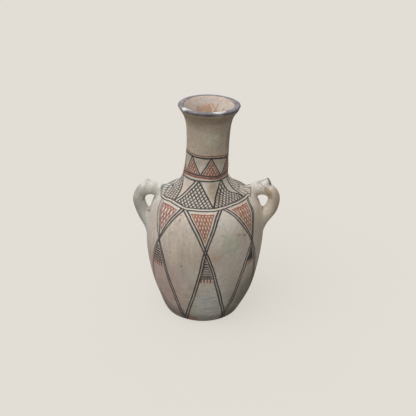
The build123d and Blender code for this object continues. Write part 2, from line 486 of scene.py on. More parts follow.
def handle_piece(name, side, roll, spur, material):
    """One handle with its spur and its roots drawn out over the wall, as one closed form."""
    axes = [np.arange(low, high, HANDLE_CELL) for low, high in HANDLE_RANGES]
    if side < 0:
        axes[0] = -axes[0][::-1]
    field = handle_field(side, roll, spur, *np.meshgrid(*axes, indexing="ij"))
    points, faces, normals = surface_of(field)
    points = np.array([axis[0] for axis in axes]) + points * HANDLE_CELL
    piece = new_piece(name, points, faces.tolist(), normals[faces.ravel()])
    piece.data.materials.append(material)
    return piece


def both_ways(operation):
    """Two methods that put an operation into a node tree, with the term in the first or the second place."""

    def first(term, other):
        return operate(operation, term, other)

    def second(term, other):
        return operate(operation, other, term)

    return first, second


class Term:
    """A value in a node tree that can be used in arithmetic."""

    def __init__(self, socket):
        self.socket = socket
        self.tree = socket.id_data

    __add__, __radd__ = both_ways("ADD")
    __sub__, __rsub__ = both_ways("SUBTRACT")
    __mul__, __rmul__ = both_ways("MULTIPLY")
    __truediv__, __rtruediv__ = both_ways("DIVIDE")

    def __abs__(self):
        return operate("ABSOLUTE", self)


def put(socket, value):
    """Links a term to a socket, or sets a plain value on it."""
    if isinstance(value, Term):
        value.tree.links.new(value.socket, socket)
    else:
        socket.default_value = value


def new_node(tree, kind, inputs, output=0, **settings):
    """An output of a new node with the given inputs and settings, as a term."""
    node = tree.nodes.new("ShaderNode" + kind)
    for name, value in settings.items():
        setattr(node, name, value)
    for key, value in inputs.items():
        put(node.inputs[key], value)
    return Term(node.outputs[output])


def operate(operation, *values):
    tree = next(value.tree for value in values if isinstance(value, Term))
    return new_node(tree, "Math", dict(enumerate(values)), operation=operation)


def least(a, b):
    return operate("MINIMUM", a, b)


def most(a, b):
    return operate("MAXIMUM", a, b)


def hypot(a, b):
    return operate("SQRT", a * a + b * b)


def wrapped(value, span):
    """A value brought within half a span of nothing by whole spans."""
    return operate("WRAP", value, span / 2, -span / 2)


def stripes(value, pitch):
    """Distance to the nearest of a family of parallel strokes."""
    return abs(wrapped(value, pitch))


def hatching(d1, d2, pitch):
    """Distance to the nearest of two families of parallel strokes."""
    return least(stripes(d1, pitch), stripes(d2, pitch))


def rise(value, low, high):
    """0 below low and 1 above high, smooth between; the other way round where low is the higher."""
    ends = {"Value": value, "From Min": low, "From Max": high}
    return new_node(value.tree, "MapRange", ends, "Result", interpolation_type="SMOOTHSTEP")


def between(value, low, high, to_low, to_high):
    """A straight change from one value to another, level outside."""
    ends = {"Value": value, "From Min": low, "From Max": high, "To Min": to_low, "To Max": to_high}
    return new_node(value.tree, "MapRange", ends, "Result")


BLUR = 0.5


def line_mask(distance, half_width, blur=BLUR):
    return rise(distance, half_width + blur, half_width - blur)


def linear(colour):
    """A colour for a socket from one written as 0 to 255 screen values."""
    made = [v / 255.0 for v in colour]
    made = [v / 12.92 if v <= 0.04045 else ((v + 0.055) / 1.055) ** 2.4 for v in made]
    return (*made, 1.0)


def mixed(factor, a, b):
    """A mix of two colours, each a term or screen values."""
    a, b = [linear(colour) if isinstance(colour, tuple) else colour for colour in (a, b)]
    return new_node(factor.tree, "Mix", {0: factor, 6: a, 7: b}, 2, data_type="RGBA")


def noise(place, size, detail, roughness, output="Fac"):
    """Noise whose clouds are about size millimetres across, at a place in millimetres."""
    inputs = {"Vector": place, "Scale": 1.0 / size, "Detail": detail, "Roughness": roughness}
    return new_node(place.tree, "TexNoise", inputs, output)


def swing(cloud, size):
    """Noise as a change to either side of nothing."""
    return (cloud - 0.5) * size


def stretched(place, scale):
    return new_node(place.tree, "VectorMath", {0: place, 1: scale}, operation="MULTIPLY")


def parts_of(vector):
    first = new_node(vector.tree, "SeparateXYZ", {0: vector})
    return [Term(output) for output in first.socket.node.outputs]


def looked_along(value, points, inputs, outputs):
    """A smooth curve through points of input and output, each within its range."""
    span = inputs[1] - inputs[0]
    reach = outputs[1] - outputs[0]
    found = new_node(value.tree, "FloatCurve", {"Value": (value - inputs[0]) / span})
    mapping = found.socket.node.mapping
    curve = mapping.curves[0]
    spots = sorted(((a - inputs[0]) / span, (b - outputs[0]) / reach) for a, b in points)
    while len(curve.points) < len(spots):
        curve.points.new(0.5, 0.5)
    for point, spot in zip(curve.points, spots):
        point.location = spot
        point.handle_type = "AUTO"
    mapping.extend = "EXTRAPOLATED"
    mapping.update()
    return operate("MULTIPLY_ADD", found, reach, outputs[0])


# Colours, as screen values.
CREAM = (206, 196, 183)
CREAM_PALE = (216, 208, 197)
CREAM_PINK = (198, 178, 166)
CREAM_GREEN = (190, 186, 168)
CREAM_BROWN = (182, 163, 145)
BLACK_PAINT = (50, 46, 51)
RED_PAINT = (149, 84, 51)
RED_PAINT_LEFT = (146, 68, 62)
RED_PAINT_NECK = (136, 64, 44)
RIM_PAINT = (130, 124, 131)
RIM_PAINT_WORN = (160, 155, 160)
RIM_LINE = (214, 180, 146)
# Paler slip on the lip's top, lightened as a painted highlight.
LIP_PALE_HIGHLIGHT = (222, 203, 191)
WORN_WHITE = (224, 226, 223)
STAIN = (186, 144, 112)
INSIDE_CREAM = (202, 188, 176)
INSIDE_PALE = (208, 196, 186)
HANDLE_BROWN = (168, 138, 98)
# Painted shade on the outer sides of the left and the right handle.
HANDLE_SHADE_GREY = (160, 157, 148)
HANDLE_SHADE_TAN = (172, 150, 122)

# Clouds of colour on the jar: fire clouds and the hand's marks, and also painted shade, painted highlights
# and a painted reflection. Each has the angle and height of the middle, half the size round the jar and
# upwards, the colour and how much of it shows. A reach of a full turn goes right round.
TINTS_AND_PAINTED_SHADING = (
    # The next two: a darker, browner neck, partly the clay's tone and partly painted shade, and painted
    # shade under the lip's overhang.
    (0, 287, FULL_TURN, 64, (190, 176, 158), 0.85),
    (0, 317, FULL_TURN, 12, (152, 132, 110), 0.5),
    (-48, 72, 46, 80, (194, 170, 160), 0.75),
    (8, 32, 26, 60, (212, 212, 207), 0.88),
    # The next four: darker low on the right and all round the foot, partly grey fire clouding and partly
    # painted shade, then a painted contact shadow along the very foot.
    (72, 35, 52, 80, (120, 116, 106), 0.75),
    (86, 16, 44, 66, (104, 103, 94), 0.7),
    (0, 0, FULL_TURN, 24, (142, 133, 126), 0.6),
    (0, 0, FULL_TURN, 3.2, (96, 88, 82), 0.7),
    (-38, 308, 30, 9, (150, 132, 112), 0.3),
    # The next two: painted shade at the foot, low on the left and low on the right.
    (-34, 12, 18, 20, (112, 98, 91), 0.45),
    (38, 13, 16, 18, (96, 92, 86), 0.45),
    # A painted reflection: bluish grey light on the body's left edge.
    (-80, 120, 16, 60, (186, 184, 186), 0.45),
    (-22, 142, 26, 50, (208, 191, 174), 0.4),
    (-14, 3, 12, 13, (150, 104, 92), 0.55),
    (25, 146, 13, 20, (184, 189, 165), 0.6),
    (14, 286, 28, 17, (204, 208, 184), 0.5),
    (10, 128, 10, 11, (190, 162, 134), 0.45),
    (18, 211, 21, 17, (168, 152, 133), 0.9),
    (-46, 213, 16, 13, (206, 192, 176), 0.8),
    (70, 150, 16, 44, (202, 190, 172), 0.75),
    (-90, 176, 30, 66, (212, 209, 200), 0.85),
    (90, 178, 30, 66, (224, 214, 198), 0.85),
    # The next three: a painted highlight on the left handle's top, painted shade that tones down its spur's
    # tip, and a painted highlight on the right handle's top.
    (-90, 213, 26, 14, (238, 237, 230), 0.9),
    (-90, 216, 26, 9, (198, 192, 182), 0.7),
    (90, 214, 26, 16, (243, 238, 228), 0.95),
    # Painted shade down the right side of the neck.
    (84, 285, 30, 62, (142, 130, 114), 0.65),
    # Painted shade low on the left.
    (-72, 10, 38, 42, (128, 112, 105), 0.7),
    (180, 60, 60, 70, (180, 168, 154), 0.6),
    (150, 150, 34, 30, (190, 172, 158), 0.6),
)
TINT_RAGGED = 0.9
TINT_EDGE = (1.0, 0.35)
TINT_LIMIT = 1.5

# Small marks: angle, height, half length, half width, tilt from level, colour and strength.
DABS = (
    (-28.2, 186.2, 0.7, 1.0, 0, (190, 110, 80), 0.7),
    (-27.3, 180.2, 1.6, 0.9, 80, (168, 80, 58), 0.85),
    (-29.8, 174.6, 1.2, 0.6, 40, (150, 128, 108), 0.5),
    (-33.7, 160.0, 1.8, 0.6, 80, (146, 128, 112), 0.6),
    (-35.9, 155.7, 0.3, 0.8, 0, (110, 92, 80), 0.7),
    (-21.5, 112.0, 0.4, 1.2, 0, (92, 64, 56), 0.9),
    (-33.8, 130.4, 0.3, 0.9, 0, (104, 86, 76), 0.8),
    (-34.0, 122.0, 0.3, 0.7, 0, (110, 92, 82), 0.7),
    (35.0, 158.8, 2.8, 1.0, -12, (120, 82, 60), 0.9),
    (41.0, 155.6, 3.0, 0.7, -14, (128, 92, 68), 0.8),
    (18.5, 161.3, 2.2, 0.5, -50, (136, 108, 88), 0.7),
    (14.0, 155.2, 2.0, 0.5, 35, (148, 124, 102), 0.5),
    (-2.0, 276.0, 3.0, 0.5, -40, (150, 132, 112), 0.5),
    (24.0, 283.0, 3.4, 0.5, -35, (148, 130, 110), 0.5),
    (-30.0, 292.0, 2.6, 0.5, -50, (150, 132, 112), 0.4),
    (152.0, 120.0, 3.5, 0.7, 20, (136, 106, 84), 0.6),
    (-150.0, 96.0, 0.4, 1.1, 0, (96, 76, 66), 0.8),
    (100.0, 72.0, 4.0, 0.6, -35, (140, 116, 96), 0.6),
)
DAB_BLUR = 0.4
DAB_LOAD = (0.35, 0.6, 0.4, 1.0)

# Noises, as size, detail and roughness: the brush's wobble and shake and how far they go, how much paint it
# holds, and the clouds, patches, mottling, specks and dimples of the clay.
WOBBLE = (26.0, 1.0, 0.5)
WOBBLE_SIZE = 2.2
SHAKE = (5.0, 1.0, 0.5)
SHAKE_SIZE = 0.5
LOAD = (6.0, 3.0, 0.6)
CLOUDS = (55.0, 2.0, 0.5)
CLOUD_EDGE = (0.4, 0.68)
TONES = (60.0, 2.0, 0.5)
PATCHES = (24.0, 4.0, 0.6)
PATCH_STRETCH = (1.0, 1.0, 0.6)
MOTTLE = (4.5, 5.0, 0.68)
SPECKS = (2.2, 1.0, 0.5)
DIMPLES = (22.0, 2.0, 0.5)
# Tones of the slip: the colour, how patchy it is, from where to where it grows, and how much of it shows.
CLAY_TONES = ((CREAM_PINK, 0.5, 0.48, 0.72, 0.5), (CREAM_GREEN, 0.4, 0.5, 0.7, 0.5),
              (CREAM_BROWN, 0.6, 0.55, 0.75, 0.35))
# How noise darkens and lightens the clay: from and to in the noise, and the shades there.
MOTTLE_SHADE = (0.25, 0.75, 0.86, 1.12)
DRAG_SHADE = (0.3, 0.7, 0.9, 1.1)
SPECK_SHADE = (0.25, 0.75, 0.94, 1.06)
INSIDE_SHADE = (0.25, 0.75, 0.88, 1.1)
# Strokes of the scraper: their stretch and noise, where they change and how far they warm or cool the slip.
UPRIGHT_STROKES = (0.2, 0.2, 0.022)
UPRIGHT_NOISE = (1.0, 3.0, 0.55)
SLANT_LENGTH = 15.0
SLANT_DEPTH = 10.0
SLANT_WIDTH = 2.9
SLANT_NOISE = (1.0, 3.0, 0.6)
LEVEL_STROKES = (0.07, 0.07, 0.24)
LEVEL_NOISE = (1.0, 2.0, 0.5)
LEVEL_HEIGHTS = (85.0, 60.0)
LEVEL_SHARE = 0.85
STROKE_SIDES = (-25.0, 5.0)
STROKE_TOPS = (222.0, 235.0)
WARMTH = 0.22
# Height of the relief that each noise gives, and the shader's values.
MOTTLE_RELIEF = 0.3
DRAG_RELIEF = 0.45
RIPPLE_RELIEF = 1.7
DIMPLE_RELIEF = 1.2
BUMP_STRENGTH = 0.6
SPECULAR = 0.3
ROUGHNESS_FROM = (0.3, 0.7)
SLIP_ROUGHNESS = (0.72, 0.88)
INSIDE_ROUGHNESS = (0.75, 0.9)
RIM_ROUGHNESS = (0.6, 0.8)


class Wall:
    """A new material, with what its painters need of the place that is shaded: angle, height and noises."""

    def __init__(self, name):
        self.material = bpy.data.materials.new(name)
        self.material.use_nodes = True
        self.tree = self.material.node_tree
        self.place = stretched(new_node(self.tree, "TexCoord", {}, "Object"), (1.0 / METRES,) * 3)
        self.x, self.back, self.z = parts_of(self.place)
        self.across = self.x - centre_shift(self.z)
        self.radius = hypot(self.across, self.back)
        degrees = HALF_TURN / math.pi
        self.degree = self.radius / degrees
        self.true_theta = operate("ARCTAN2", self.across, self.back * -1.0) * degrees
        wobble = parts_of(noise(self.place, *WOBBLE, "Color"))
        shake = parts_of(noise(self.place, *SHAKE, "Color"))
        off_round = swing(wobble[0], WOBBLE_SIZE) + swing(shake[0], SHAKE_SIZE)
        self.theta = self.true_theta + off_round / self.degree
        self.height = self.z + swing(wobble[1], WOBBLE_SIZE) + swing(shake[1], SHAKE_SIZE)
        self.load = noise(self.place, *LOAD)
        self.mottle = noise(self.place, *MOTTLE)
        self.lift = looked_along(self.true_theta, LINE_LIFT, AROUND, LIFT_RANGE)
        self.drag, self.ripple = scraped(self)


def scraped(wall):
    """The scraper's strokes, upright on the left of the front, slanting on its right and level low down, and
    the level ones alone."""
    along = (wall.x + wall.z) / SLANT_LENGTH
    aside = (wall.x - wall.z) / SLANT_WIDTH
    ways = {0: along, 1: wall.back / SLANT_DEPTH, 2: aside}
    upright = noise(stretched(wall.place, UPRIGHT_STROKES), *UPRIGHT_NOISE)
    slanting = noise(new_node(wall.tree, "CombineXYZ", ways), *SLANT_NOISE)
    level = noise(stretched(wall.place, LEVEL_STROKES), *LEVEL_NOISE)
    side = most(rise(wall.x, *STROKE_SIDES), rise(wall.z, *STROKE_TOPS))
    low = rise(wall.z, *LEVEL_HEIGHTS) * LEVEL_SHARE
    drag = upright + (slanting - upright) * side
    return drag + (level - drag) * low, level * low


def tint_share(wall, patch, angle, height, reach, rise_reach):
    """How much of a cloud of colour shows at a place."""
    away = abs((wall.z - height) / rise_reach)
    if reach < FULL_TURN:
        away = hypot(away, wrapped(wall.true_theta - angle, FULL_TURN) / reach)
    return rise(away + swing(patch, TINT_RAGGED), *TINT_EDGE)


def dab_share(along, up, half_length, half_width, tilt):
    """How much of a small mark shows at a place that lies along and up from its middle."""
    cosine = math.cos(math.radians(tilt))
    sine = math.sin(math.radians(tilt))
    length = most(abs(along * cosine + up * sine) - half_length, 0.0)
    return line_mask(hypot(length, up * cosine - along * sine), half_width, DAB_BLUR)


def clay_colour(wall, low, high):
    """Colour and shade of the slip between two heights: cream with clouds, painted shade and painted
    highlights, mottling and scraping.
    """
    patch = noise(stretched(wall.place, PATCH_STRETCH), *PATCHES)
    colour = mixed(rise(noise(wall.place, *CLOUDS), *CLOUD_EDGE), CREAM, CREAM_PALE)
    clouds = parts_of(noise(wall.place, *TONES, "Color"))
    for cloud, (tone, patchy, start, end, strength) in zip(clouds, CLAY_TONES):
        colour = mixed(rise(cloud + swing(patch, patchy), start, end) * strength, colour, tone)
    for angle, height, reach, rise_reach, tint, strength in TINTS_AND_PAINTED_SHADING:
        if low - TINT_LIMIT * rise_reach < height < high + TINT_LIMIT * rise_reach:
            share = tint_share(wall, patch, angle, height, reach, rise_reach)
            colour = mixed(share * strength, colour, tint)
    warmth = swing(wall.drag, WARMTH)
    factors = new_node(wall.tree, "CombineXYZ", {0: 1.0 + warmth, 1: 1.0, 2: 1.0 - warmth})
    shade = between(wall.mottle, *MOTTLE_SHADE) * between(wall.drag, *DRAG_SHADE)
    return stretched(colour, factors), shade * between(noise(wall.place, *SPECKS), *SPECK_SHADE)


def with_dabs(wall, colour, low, high):
    """A colour with the small marks between two heights."""
    load = between(wall.load, *DAB_LOAD)
    for angle, height, half_length, half_width, tilt, tint, strength in DABS:
        if low <= height < high:
            along = wrapped(wall.theta - angle, FULL_TURN) * wall.degree
            share = dab_share(along, wall.height - height, half_length, half_width, tilt)
            colour = mixed(share * load * strength, colour, tint)
    return colour


def finished(wall, colour, shade, roughness):
    """The material, with colour, roughness and relief joined to its shader."""
    relief = (wall.mottle * MOTTLE_RELIEF + wall.drag * DRAG_RELIEF + wall.ripple * RIPPLE_RELIEF
              + noise(wall.place, *DIMPLES) * DIMPLE_RELIEF)
    bump = {"Strength": BUMP_STRENGTH, "Distance": METRES, "Height": relief}
    shader = wall.tree.nodes["Principled BSDF"].inputs
    toned = new_node(wall.tree, "VectorMath", {0: colour, "Scale": shade}, operation="SCALE")
    put(shader["Base Color"], toned)
    put(shader["Roughness"], between(wall.mottle, *ROUGHNESS_FROM, *roughness))
    put(shader["Specular IOR Level"], SPECULAR)
    put(shader["Normal"], new_node(wall.tree, "Bump", bump))
    return wall.material


# The net of double lines on the body. Each crossing has its angle and height, the pitch of the red strokes
# over it, the height of its tassel's foot, how far over that its bold rungs start, and how solid the tassel
# is. Then come the gaps between a strand's lines: above the crossing for the right and the left strand, at
# it, below it and at the jar's foot, how grey the gap is below it, and how far the tassel keeps from its
# right strand. Last come the strands that run down to the right and to the left, as heights with the angle
# from the crossing.
Crossing = namedtuple("Crossing", "angle height red_pitch foot rungs fill gaps wash inset right left")
BACK_HEIGHTS = (192, 185, 170)
BACK_FEET = (72, 10)


def behind(height, *angles):
    """A strand at the back of the jar, whose crossing is at a height."""
    return tuple(zip((*BACK_HEIGHTS, height, *BACK_FEET), angles))


CROSSINGS = (
    Crossing(1, 138.3, 3.3, 93, 21, 0.0, (4.2, 3.1, 3.3, 3.4, 3.5), 0.1, 1.6,
             ((192, -27), (185, -19), (168, -9.7), (138, 0), (112, 6.3), (80, 12.8), (43, 20.5),
              (11, 30.2)),
             ((192, 17), (186, 12.6), (169, 6.9), (138, 0), (105, -3.7), (80, -7.4), (45, -13.9),
              (8, -23.5))),
    Crossing(-48.5, 144, 4.6, 106, -3, 0.05, (5.8, 3.4, 1.9, 3.0, 3.6), 0.35, 2.2,
             ((192, -27), (188, -16), (169, -6.2), (144, 0), (125, 4.6), (105, 7.9), (81, 11.6), (54, 15.6),
              (4, 22)),
             ((191, 18.7), (184, 14.7), (174, 10), (144, 0), (122, -6.4), (106, -10), (80, -15.5),
              (40, -23), (5, -31))),
    Crossing(51.1, 142, 3.8, 110.5, 40, 0.97, (3.4, 2.7, 2.4, 4.2, 3.7), 0.05, 2.0,
             ((192, -25.6), (188, -20), (181, -14.6), (162, -6.6), (142, -0.3), (124, 3.6), (81, 12.7),
              (5, 25)),
             ((193, 19), (191.5, 15.9), (189.3, 12.8), (186.6, 11.2), (183, 10.3), (173, 6.4), (158, 2.2),
              (142, -0.3), (130, -3.2), (114, -6.3), (105, -7.7), (88, -10.8), (67, -13.4), (44, -16.2),
              (12, -21.3))),
    Crossing(103, 142, 3.9, 104, 19, 0.2, (4.0, 4.0, 2.8, 3.4, 3.4), 0.3, 1.0,
             behind(142, -18.7, -13, -7, 0, 11, 25), behind(142, 26, 18, 10, 0, -12, -27)),
    Crossing(154, 140, 3.5, 101, 20, 0.0, (4.2, 4.2, 3.4, 3.4, 3.6), 0.1, 0.5,
             behind(140, -25, -17.5, -9.5, 0, 12, 26), behind(140, 26, 18, 10, 0, -12, -26)),
    Crossing(205, 141, 3.8, 103, 22, 0.3, (4.0, 4.0, 3.0, 3.2, 3.4), 0.2, 0.5,
             behind(141, -25, -17.5, -9.5, 0, 11.5, 25), behind(141, 22, 15.5, 8.5, 0, -11.5, -25)),
    Crossing(256, 143, 4.2, 104, 18, 0.0, (3.8, 3.8, 2.4, 3.4, 3.4), 0.3, 1.0,
             behind(143, -29, -20, -11, 0, 13, 29), behind(143, 21, 15, 8, 0, -12, -26)),
)
STRAND_HEIGHTS = (0.0, 200.0)
STRAND_ANGLES = (-60.0, 60.0)
# Heights from the crossing between which the gap changes, and heights between which it widens to the foot.
GAP_START = -2.0
GAP_ABOVE = 26.0
GAP_BELOW = -20.0
GAP_WIDENING = (95.0, 62.0)
# Heights between which the wall's slope brings the lines nearer, and how near.
NET_SLANT = (140.0, 190.0, 0.95, 0.73)
NET_HALF_WIDTH = 1.08
NET_TOP = (192.7, 192.1)
NET_FOOT = (-0.7, 0.3)
# Where the strands at the sides are washed with grey, from the left to the right, and where they fade.
WASH_START = (52.0, 56.0)
WASH_END = (92.0, 84.0)
WASH = (-10.0, 10.0, 0.26, 0.42)
FADE_SIDES = (60.0, 76.0, 1.0, 0.7)
FADE_LEFT = (-47.0, -57.0, 1.0, 0.7)
RED_INSET = 5.0
RED_TOP = 189.0
RED_TOP_SLOPE = 1.2
RED_TIP = (6.0, 8.0)
RED_EDGE = (-0.9, -0.5)
RED_HALF_WIDTH = 0.8
TASSEL_START = 9.0
TASSEL_SAG = 1.6
TASSEL_PITCH = 2.9
TASSEL_HALF_WIDTH = 0.85
TASSEL_BAND = (6.8, 5.2)
TASSEL_BAND_SHARE = 0.7
TASSEL_SIDE = (-0.2, 0.3)
TASSEL_TOP = (-0.3, 0.3)
TASSEL_FOOT = (-0.9, -0.4)
RUNG_PITCH = 4.3
RUNG_HALF_WIDTH = 1.35
FRINGE_START = -0.4
FRINGE_PITCH = 4.6
FRINGE_HALF_WIDTH = 1.2
FRINGE_TOP = (-0.4, -0.9)
FRINGE_END = (-7.5, -7.0)
FRINGE_SIDE = (0.5, 1.0)


def net_paint(wall, red=False, tassels=False):
    """Masks of the black and the red paint of the net: double strands, hatched triangles and tassels."""
    height = wall.height
    scale = wall.degree * between(height, *NET_SLANT)
    aside = abs(wall.true_theta)
    washed = rise(aside, *WASH_START) * rise(aside, *WASH_END) * between(wall.true_theta, *WASH)
    lines = []
    washes = []
    blacks = []
    reds = []
    for crossing in CROSSINGS:
        here = wrapped(wall.theta - crossing.angle, FULL_TURN)
        right, left = [(here - looked_along(height, strand, STRAND_HEIGHTS, STRAND_ANGLES)) * scale
                       for strand in (crossing.right, crossing.left)]
        over_right, over_left, beside, below, at_foot = [gap / 2 for gap in crossing.gaps]
        start = crossing.height + GAP_START
        half_gap = (between(height, start, crossing.height + GAP_BELOW, beside, below)
                    + between(height, *GAP_WIDENING, 0.0, at_foot - below))
        away = []
        for strand, over in ((right, over_right), (left, over_left)):
            wider = between(height, start, crossing.height + GAP_ABOVE, 0.0, over - beside)
            away.append(abs(strand) - half_gap - wider)
        lines += [abs(distance) for distance in away]
        lower = rise(height, crossing.height, start) * rise(height, *GAP_WIDENING[::-1])
        washes.append(line_mask(least(*away), 0.0) * most(washed, lower * crossing.wash))
        if red:
            reds.append(red_triangle(wall, right, left, crossing))
        if tassels:
            inner = least(right * -1.0 - crossing.inset, left) - half_gap
            black, fringe = tassel(wall, here, inner, crossing)
            blacks.append(black)
            reds.append(fringe)
    ends = rise(height - wall.lift, *NET_TOP) * rise(height, *NET_FOOT)
    black = line_mask(reduce(least, lines), NET_HALF_WIDTH) * between(aside, *FADE_SIDES)
    black = reduce(most, [black * between(wall.true_theta, *FADE_LEFT), *washes]) * ends
    return reduce(most, [black, *blacks]), reduce(most, reds) if reds else None


def red_triangle(wall, right, left, crossing):
    """The hatched triangle that hangs between two strands above their crossing."""
    d1 = right - RED_INSET
    d2 = left * -1.0 - RED_INSET
    room = least(least(d1, d2), (wall.lift - wall.height + RED_TOP) * RED_TOP_SLOPE)
    strokes = least(hatching(d1, d2, crossing.red_pitch), abs(room))
    above = rise(wall.height - crossing.height, *RED_TIP)
    return line_mask(strokes, RED_HALF_WIDTH) * rise(room, *RED_EDGE) * above


def tassel(wall, here, inner, crossing):
    """The striped tassel that hangs between two strands below their crossing, and its fringe."""
    over = wall.height - crossing.foot
    sagged = over + swing(wall.load, TASSEL_SAG)
    fine = line_mask(stripes(sagged, TASSEL_PITCH), TASSEL_HALF_WIDTH)
    bold = line_mask(stripes(sagged, RUNG_PITCH), RUNG_HALF_WIDTH)
    upper = rise(over, crossing.rungs - BLUR, crossing.rungs + BLUR)
    strokes = fine * (1.0 - upper) + bold * upper
    band = most(rise(over, *TASSEL_BAND) * (1.0 - upper) * TASSEL_BAND_SHARE, crossing.fill)
    under = crossing.height - TASSEL_START - wall.height
    body = rise(inner, *TASSEL_SIDE) * rise(under, *TASSEL_TOP) * rise(over, *TASSEL_FOOT)
    threads = line_mask(stripes(here * wall.degree - FRINGE_START, FRINGE_PITCH), FRINGE_HALF_WIDTH)
    hanging = rise(over, *FRINGE_END) * rise(over, *FRINGE_TOP) * rise(inner, *FRINGE_SIDE)
    return most(strokes, band) * body, threads * hanging


# Hatched triangles on the shoulder: the pitch of the strokes and half their width, whether the left side is
# drawn twice, the angle that the sides are measured from, and the left and right sides, as heights with the
# angle there.
SHOULDER_TRIANGLES = (
    (4.7, 0.9, True, -20,
     ((223.8, 1.5), (219.3, -3.9), (215, -9), (210.9, -13.1), (207, -16.5), (203.6, -18.9), (200.5, -21.3),
      (194, -26)),
     ((224.7, 0.6), (218.7, 7.4), (212.6, 14.2), (206.7, 20.4), (201.5, 25.2), (196.2, 29.2), (194, 30.8))),
    (4.5, 0.82, False, 37, ((224, 1.6), (212.8, -12), (206.2, -18.1), (198.6, -23.5), (194, -26.6)),
     ((224, 3), (215.2, 8), (210.2, 9.8), (206.5, 14), (203.8, 19.6), (200.7, 26.4), (195, 29.5))),
    (5.4, 0.6, False, 80,
     ((224.5, -14.5), (213.7, -15.3), (208.3, -15.5), (204.5, -14), (199, -12), (195, -13)),
     ((224.5, -12), (215, 8), (206, 26), (194, 47))),
    (4.6, 0.85, False, 157, ((224.5, -1), (214, -11), (206, -20), (194, -30)),
     ((224.5, 1), (214, 11), (206, 20), (194, 30.5))),
    (4.8, 0.9, True, 218, ((224.5, -1), (213, -13), (205, -19), (194, -26)),
     ((224.5, 1), (215, 10), (206, 21), (194, 31))),
    (4.8, 0.78, False, 280, ((224.5, 3), (215, -8), (206, -17), (194, -30)),
     ((224.5, 5), (221, 8), (215.6, 16), (211, 20.6), (203.4, 26), (194, 30))),
)
SIDE_HEIGHTS = (190.0, 230.0)
SIDE_ANGLES = (-60.0, 60.0)
SIDE_SLANT = 0.8
SIDE_DOUBLE = 4.2
SIDE_BOLD = 0.2
SIDE_EDGE = (-1.4, -0.9)
DOUBLE_EDGE = (-1.2, -0.7)
SHOULDER_FOOT = (193.9, 194.4)
SHOULDER_TOP = (225.4, 224.9)
# The double line round the shoulder's edge: its two heights, and how far it strays from them round the jar.
DOUBLE_LINE_HEIGHTS = (194.4, 192.1)
DOUBLE_LINE_SLOPE = 1.8
DOUBLE_LINE_HALF_WIDTH = 0.95
LINE_LIFT = ((-180, 0.8), (-120, 0.4), (-84, -0.9), (-50, 1.3), (-20, 0), (2, 0), (20, 0.7), (50, 2.1),
             (75, 1.7), (120, 0.6), (180, 0.8))
LIFT_RANGE = (-5.0, 5.0)


def shoulder_paint(wall):
    """Mask of the black paint of the hatched triangles and the shoulder's double line, and no red."""
    over = wall.height - wall.lift
    room = rise(over, *SHOULDER_FOOT) * rise(wall.height, *SHOULDER_TOP)
    found = []
    for pitch, half_width, doubled, angle, *sides in SHOULDER_TRIANGLES:
        here = wrapped(wall.theta - angle, FULL_TURN)
        left, right = [looked_along(wall.height, side, SIDE_HEIGHTS, SIDE_ANGLES) for side in sides]
        d1 = (here - left) * wall.degree * SIDE_SLANT
        d2 = (right - here) * wall.degree * SIDE_SLANT
        inner = least(d1, d2)
        bold = half_width + SIDE_BOLD
        strokes = most(line_mask(hatching(d1, d2, pitch), half_width), line_mask(inner, bold))
        found.append(strokes * rise(inner, *SIDE_EDGE))
        if doubled:
            found.append(line_mask(abs(d1 + SIDE_DOUBLE), bold) * rise(d2, *DOUBLE_EDGE))
    rings = [abs(over - height) * DOUBLE_LINE_SLOPE for height in DOUBLE_LINE_HEIGHTS]
    return most(reduce(most, found) * room, line_mask(least(*rings), DOUBLE_LINE_HALF_WIDTH)), None


# The band of triangles round the neck, between two uneven rings: left foot, tip and right foot.
NECK_TRIANGLES = ((-64.4, -44.2, -16.5), (-16.2, 10.3, 39.5), (40.7, 66, 92), (92, 117, 143),
                  (143, 169, 194), (194, 220, 245), (245, 270, 295.6))
NECK_RING_TOP = ((-180, 258), (-110, 260), (-75, 260.6), (-42, 259.1), (-12, 258.5), (10, 258), (43, 256.7),
                 (60, 255.4), (110, 256), (180, 258))
NECK_TOP_RANGE = (250.0, 266.0)
NECK_RING_FOOT = ((-180, 231.6), (-110, 230.6), (-76, 230.4), (-55, 232.3), (-40, 232.7), (-5, 232.2),
                  (10, 231.4), (34, 230.9), (60, 231.7), (110, 232), (180, 231.6))
NECK_FOOT_RANGE = (226.0, 238.0)
NECK_TOP_HALF_WIDTH = 1.3
NECK_RING_HALF_WIDTH = 1.03
NECK_SIDE_HALF_WIDTH = 0.98
NECK_ROOT_HEIGHT = 224.5
NECK_BAND_TOP = (0.6, 0.0)
NECK_BAND_FOOT = (-0.6, 0.0)
NECK_SIDE_SLANT = 0.87
NECK_RED_INSET = 2.4
NECK_RED_PITCH = 3.8
NECK_RED_HALF_WIDTH = 0.86
NECK_RED_EDGE = (-0.8, -0.4)
# The red rings beside the black ones: how far over the top and the foot one, half the width and the share.
RED_RING_TOP = (3.2, 0.9, 0.9)
RED_RING_FOOT = (-2.7, 1.3, 1.0)


